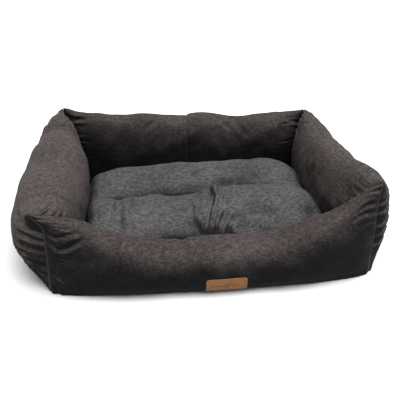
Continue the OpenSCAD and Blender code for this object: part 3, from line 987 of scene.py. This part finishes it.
u, v = np.meshgrid(np.linspace(-1, 1, LABEL_POINTS), np.linspace(-1, 1, LABEL_POINTS // 2))
round_u, round_v = squircle(u, v, LABEL_CORNER)
lx, lz = round_u * LABEL_HALF[0], round_v * LABEL_HALF[1]
edge = 1 - np.maximum(np.abs(u), np.abs(v)) ** 40
mark = np.maximum.reduce([paw_depth(lx, lz - 0.5), bar_depth(lx, lz, -BAR_TO, -BAR_FROM),
                          bar_depth(lx, lz, BAR_FROM, BAR_TO)])
to_edge = np.minimum(LABEL_HALF[0] - np.abs(lx), LABEL_HALF[1] - np.abs(lz))
border = bell(to_edge - BORDER, 0.8)
back = label_y(lx, lz)
front = back - LABEL_T * (0.55 + 0.45 * np.sqrt(np.maximum(edge, 0))) + 0.55 * mark + 0.25 * border
sides = [np.stack([label_mid[0] + lx, y, label_mid[2] + lz], -1).reshape(-1, 3) for y in (front, back + 0.6)]
rows, cols = u.shape
rear = rows * cols      # the rear side's points come after the front side's
faces = []
for i in range(rows - 1):
    for j in range(cols - 1):
        a = i * cols + j
        b = rear + a
        faces.append((a, a + 1, a + cols + 1, a + cols))
        faces.append((b, b + cols, b + cols + 1, b + 1))
rim = [*range(cols), *range(2 * cols - 1, rear, cols), *range(rear - 2, rear - cols - 1, -1),
       *range(rear - 2 * cols, 0, -cols)]
faces += [(a, rear + a, rear + b, b) for a, b in zip(rim, rim[1:] + rim[:1])]
label_piece = add_piece("leather_label", np.concatenate(sides), faces, "bed")
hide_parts("label")

turn = np.linspace(0, 2 * math.pi, 240)
reach = np.maximum(np.abs(np.cos(turn)), np.abs(np.sin(turn)))
ring = np.stack(squircle(np.cos(turn) / reach, np.sin(turn) / reach, LABEL_CORNER), -1)
ring *= LABEL_HALF - BORDER
thread_line = np.stack([label_mid[0] + ring[:, 0], label_y(ring[:, 0], ring[:, 1]) - LABEL_T + 0.3,
                        label_mid[2] + ring[:, 1]], -1)
thread_normal = np.broadcast_to([0, -1.0, 0], thread_line.shape)
thread_piece = add_piece("label_stitches", *stitches(thread_line, thread_normal, 2.6, 1.2, 0.36), "bed")
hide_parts("label_stitching")


# ---------------------------------------------------------------- materials

class Look:
    """A material made of shader nodes, whose inputs are values or the outputs of other nodes."""

    def __init__(self, name):
        self.material = bpy.data.materials.new(name)
        self.material.use_nodes = True
        self.tree = self.material.node_tree
        self.tree.nodes.clear()
        self.shader = self.tree.nodes.new("ShaderNodeBsdfPrincipled")
        surface = self.tree.nodes.new("ShaderNodeOutputMaterial").inputs["Surface"]
        self.tree.links.new(self.shader.outputs["BSDF"], surface)
        self.where = self.add("ShaderNodeTexCoord", {}, "Object")

    def feed(self, node, inputs):
        for key, value in inputs.items():
            if isinstance(value, bpy.types.NodeSocket):
                self.tree.links.new(value, node.inputs[key])
            else:
                node.inputs[key].default_value = value

    def add(self, kind, inputs, output, **settings):
        """The named output of a new node."""
        node = self.tree.nodes.new(kind)
        for key, value in settings.items():
            setattr(node, key, value)
        self.feed(node, inputs)
        return node.outputs[output]

    def noise(self, scale, detail=3.0, roughness=0.55, stretch=None, distortion=0.0):
        """A noise texture on object coordinates; scale is in features per metre."""
        where = self.where
        if stretch:
            where = self.add("ShaderNodeMapping", {"Vector": where, "Scale": stretch}, "Vector")
        return self.add("ShaderNodeTexNoise", {"Vector": where, "Scale": scale, "Detail": detail,
                                               "Roughness": roughness, "Distortion": distortion}, "Fac")

    def mix(self, a, b, share):
        return self.add("ShaderNodeMix", {"Factor": share, "A": a, "B": b}, 0, data_type="FLOAT")

    def maths(self, operation, a, b):
        return self.add("ShaderNodeMath", {0: a, 1: b}, 0, operation=operation)

    def ramp(self, value, stops):
        node = self.tree.nodes.new("ShaderNodeValToRGB")
        self.feed(node, {"Fac": value})
        line = node.color_ramp
        for element, (place, colour) in zip(line.elements, (stops[0], stops[-1])):
            element.position, element.color = place, (*colour, 1)
        for place, colour in stops[1:-1]:
            line.elements.new(place).color = (*colour, 1)
        return node.outputs["Color"]

    def bump(self, height, strength, distance):
        """A normal from a height field; distance is in metres."""
        inputs = {"Height": height, "Strength": strength, "Distance": distance}
        return self.add("ShaderNodeBump", inputs, "Normal")


def linear(r, g, b):
    """Linear colour of an sRGB colour given from 0 to 255."""
    return tuple((c / 255 / 12.92) if c <= 10.3 else ((c / 255 + 0.055) / 1.055) ** 2.4 for c in (r, g, b))


def scaled(colour, factor):
    return tuple(c * factor for c in colour)


def velour(name, side, top, span, patchy, tint):
    """Short-pile velour, mottled, that turns from a dark side colour to a pale top colour as its normal
    rises through span: painted shade on faces that point sideways or down, painted light on faces that point
    up.
    """
    look = Look(name)
    patches = look.noise(9, 2, 0.5)
    brushed = look.noise(180, 3, 0.6, stretch=(1, 1, 0.6), distortion=0.5)
    upright = look.noise(420, 2, 0.6, stretch=(1, 1, 0.2))
    level = look.noise(420, 2, 0.6, stretch=(0.24, 0.24, 1))
    pile = look.noise(900, 2, 0.6)
    mottle = look.mix(upright, level, 0.5)
    blend = look.mix(brushed, mottle, 0.68)
    blend = look.mix(blend, patches, 0.14)
    blend = look.mix(blend, pile, 0.12)
    # The side colour's mottle is weaker, as in shade, and the top colour's stronger, as in light: painted
    # shading.
    shades = [look.ramp(blend, [(0.42, scaled(colour, 1 - contrast)), (0.5, scaled(colour, 0.94)),
                                (0.58, scaled(colour, 1 + 1.2 * contrast))])
              for colour, contrast in ((side, 0.35), (top, 0.52))]
    # Painted light and shade: the colour follows how far each face points up, not the lamps.
    normal = look.add("ShaderNodeNewGeometry", {}, "Normal")
    facing_for_painted_light = look.add("ShaderNodeSeparateXYZ", {"Vector": normal}, "Z")
    facing_for_painted_light = look.maths("ADD", facing_for_painted_light, look.maths("MULTIPLY", patches, patchy))
    share = look.add("ShaderNodeMapRange", {"Value": facing_for_painted_light, "From Min": span[0], "From Max": span[1]},
                     "Result", interpolation_type="SMOOTHSTEP")
    colour = look.add("ShaderNodeMix", {0: share, 6: shades[0], 7: shades[1]}, 2, data_type="RGBA")
    height = look.mix(look.mix(mottle, pile, 0.4), brushed, 0.35)
    look.feed(look.shader, {"Base Color": colour, "Roughness": 0.95, "Specular IOR Level": 0.06,
                            "Sheen Weight": 0.03, "Sheen Roughness": 0.5, "Sheen Tint": (*tint, 1),
                            "Normal": look.bump(height, 0.55, 0.0016)})
    return look.material


def woven(name, colour, pitch, sheen=0.0, roughness=0.8):
    """A plain weave of warp and weft threads, pitch millimetres apart."""
    look = Look(name)
    wave = {"Vector": look.where, "Scale": 1 / (pitch * MM) / 3.14, "Distortion": 0.4, "Detail": 1.0}
    warp, weft = (look.add("ShaderNodeTexWave", wave, "Fac", bands_direction=way) for way in "XY")
    cross = look.maths("MAXIMUM", warp, weft)
    blend = look.mix(cross, look.noise(30, 3), 0.5)
    tone = look.ramp(blend, [(0.2, scaled(colour, 0.6)), (0.8, scaled(colour, 1.25))])
    look.feed(look.shader, {"Base Color": tone, "Roughness": roughness, "Sheen Weight": sheen,
                            "Normal": look.bump(cross, 0.5, 0.0004)})
    return look.material


def leather(name, colour):
    look = Look(name)
    grain = look.add("ShaderNodeTexVoronoi", {"Vector": look.where, "Scale": 900.0}, "Distance")
    cloud = look.noise(70, 4, 0.6)
    fine = look.noise(500, 3, 0.6)
    blend = look.mix(cloud, fine, 0.35)
    tone = look.ramp(blend, [(0.3, scaled(colour, 0.66)), (0.52, colour), (0.72, scaled(colour, 1.2))])
    rough = look.ramp(fine, [(0.2, (0.5,) * 3), (0.8, (0.7,) * 3)])
    look.feed(look.shader, {"Base Color": tone, "Roughness": rough, "Specular IOR Level": 0.35,
                            "Normal": look.bump(look.mix(grain, fine, 0.5), 0.35, 0.0004)})
    return look.material


def metal(name, colour, roughness):
    look = Look(name)
    wear = look.noise(400, 4, 0.6)
    tone = look.ramp(wear, [(0.3, scaled(colour, 0.8)), (0.7, scaled(colour, 1.1))])
    rough = look.ramp(wear, [(0.3, (roughness * 0.8,) * 3), (0.7, (roughness * 1.3,) * 3)])
    look.feed(look.shader, {"Base Color": tone, "Roughness": rough, "Metallic": 1.0,
                            "Normal": look.bump(wear, 0.15, 0.0002)})
    return look.material


def dress(material, *pieces):
    for piece in pieces:
        piece.data.materials.append(material)


# Walls and ends are the same cloth; the ends' paler colours are painted light for the stronger light on the
# left and right walls.
WALL_TINT = (1.0, 0.92, 0.90)
TAN = linear(114, 72, 33)
# Painted shading: side is the cloth's colour in shade and top its colour in light, blended by how far each
# face points up.
wall_velour_painted_shading = velour("wall_velour_painted_shading", side=(0.0046, 0.0047, 0.0050), top=(0.0400, 0.0331, 0.0322),
                     span=(0.08, 1.0), patchy=0.3, tint=WALL_TINT)
# Painted light: a paler copy of the wall cloth for the left and right walls, its pale top colour reaching
# further down their sides.
end_velour_painted_light = velour("end_velour_painted_light", side=(0.0050, 0.0049, 0.0051), top=(0.0530, 0.0447, 0.0422),
                    span=(-0.04, 0.56), patchy=0.3, tint=WALL_TINT)
# Painted shading: only the cushion's flattest tops take the pale colour; its slopes and sides take the dark
# one.
cushion_velour_painted_shading = velour("cushion_velour_painted_shading", side=(0.0120, 0.0117, 0.0126), top=(0.0530, 0.0505, 0.0515),
                        span=(0.70, 1.02), patchy=0.12, tint=(1.0, 0.98, 1.0))
zip_metal = metal("zip_metal", linear(120, 118, 116), 0.32)

front_wall, back_wall, left_wall, right_wall = wall_pieces
dress(wall_velour_painted_shading, front_wall, back_wall, base_piece)
dress(end_velour_painted_light, left_wall, right_wall)
dress(cushion_velour_painted_shading, cushion_piece)
dress(woven("sewing_thread", linear(32, 30, 30), 0.5, 0.1), corner_piece, crest_piece, channel_piece)
dress(woven("label_thread", linear(120, 82, 50), 0.4, 0.2), thread_piece)
dress(woven("underside_cloth", linear(34, 34, 35), 1.2), under_piece)
dress(leather("label_leather", TAN), label_piece)
dress(leather("pressed_leather", scaled(TAN, 0.4)), label_piece)
pressed = np.r_[(mark + 0.6 * border > 0.45).ravel(), np.zeros(rear, bool)]
for face in label_piece.data.polygons:
    face.material_index = int(pressed[list(face.vertices)].mean() > 0.5)

ZIP_LOOKS = {"zip_tapes": woven("zip_tape", linear(40, 40, 42), 0.7),
             "zip_coil": woven("zip_nylon", linear(48, 48, 50), 0.6, 0.0, 0.45),
             "zip_stops": zip_metal, "zip_slider": zip_metal, "zip_pull": zip_metal}
for name, material in ZIP_LOOKS.items():
    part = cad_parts[name]
    part.data.materials.clear()
    dress(material, part)


# ---------------------------------------------------------------- floor, light and camera

FLOOR_HALF = 12000
corners = [(x * FLOOR_HALF, y * FLOOR_HALF, 0) for x, y in ((-1, -1), (1, -1), (1, 1), (-1, 1))]
floor = new_object("floor", new_mesh("floor", corners, [(0, 1, 2, 3)]))
floor_look = Look("pale_floor")
floor_look.feed(floor_look.shader, {"Base Color": (0.75, 0.75, 0.75, 1), "Roughness": 0.9,
                                    "Specular IOR Level": 0.1})
dress(floor_look.material, floor)

world = bpy.data.worlds.new("studio")
bpy.context.scene.world = world
world.use_nodes = True
world.node_tree.nodes["Background"].inputs["Color"].default_value = (1, 1, 1, 1)
world.node_tree.nodes["Background"].inputs["Strength"].default_value = 0.45
sun = bpy.data.lights.new("top_light", "SUN")
sun.energy = 5.6
sun.angle = math.radians(75)
new_object("top_light", sun).rotation_euler = (math.radians(12), math.radians(11), 0)

SPAN = round((X_RIGHT - X_LEFT) * MM, 3)   # metres between the front corners; it sets the camera's distance
DISTANCE = 2.284 * SPAN
YAW, RISE = math.radians(-6.4), math.radians(25.8)
TARGET = Vector((-0.010 * SPAN + MIDDLE[0] * MM, MIDDLE[1] * MM, 0.073 * SPAN))
behind = Vector((math.sin(YAW) * math.cos(RISE), -math.cos(YAW) * math.cos(RISE), math.sin(RISE)))
right = Vector((math.cos(YAW), math.sin(YAW), 0))
turned = Matrix((right, behind.cross(right), behind)).transposed().to_4x4()
camera_data = bpy.data.cameras.new("camera")
camera_data.sensor_width = 36
camera_data.lens = 55.8
camera_data.shift_x, camera_data.shift_y = 0.012, 0.00725
camera_data.clip_end = 100
camera = new_object("camera", camera_data)
camera.matrix_world = Matrix.Translation(TARGET + behind * DISTANCE) @ turned
bpy.context.scene.camera = camera
bpy.context.scene.view_settings.view_transform = "Standard"
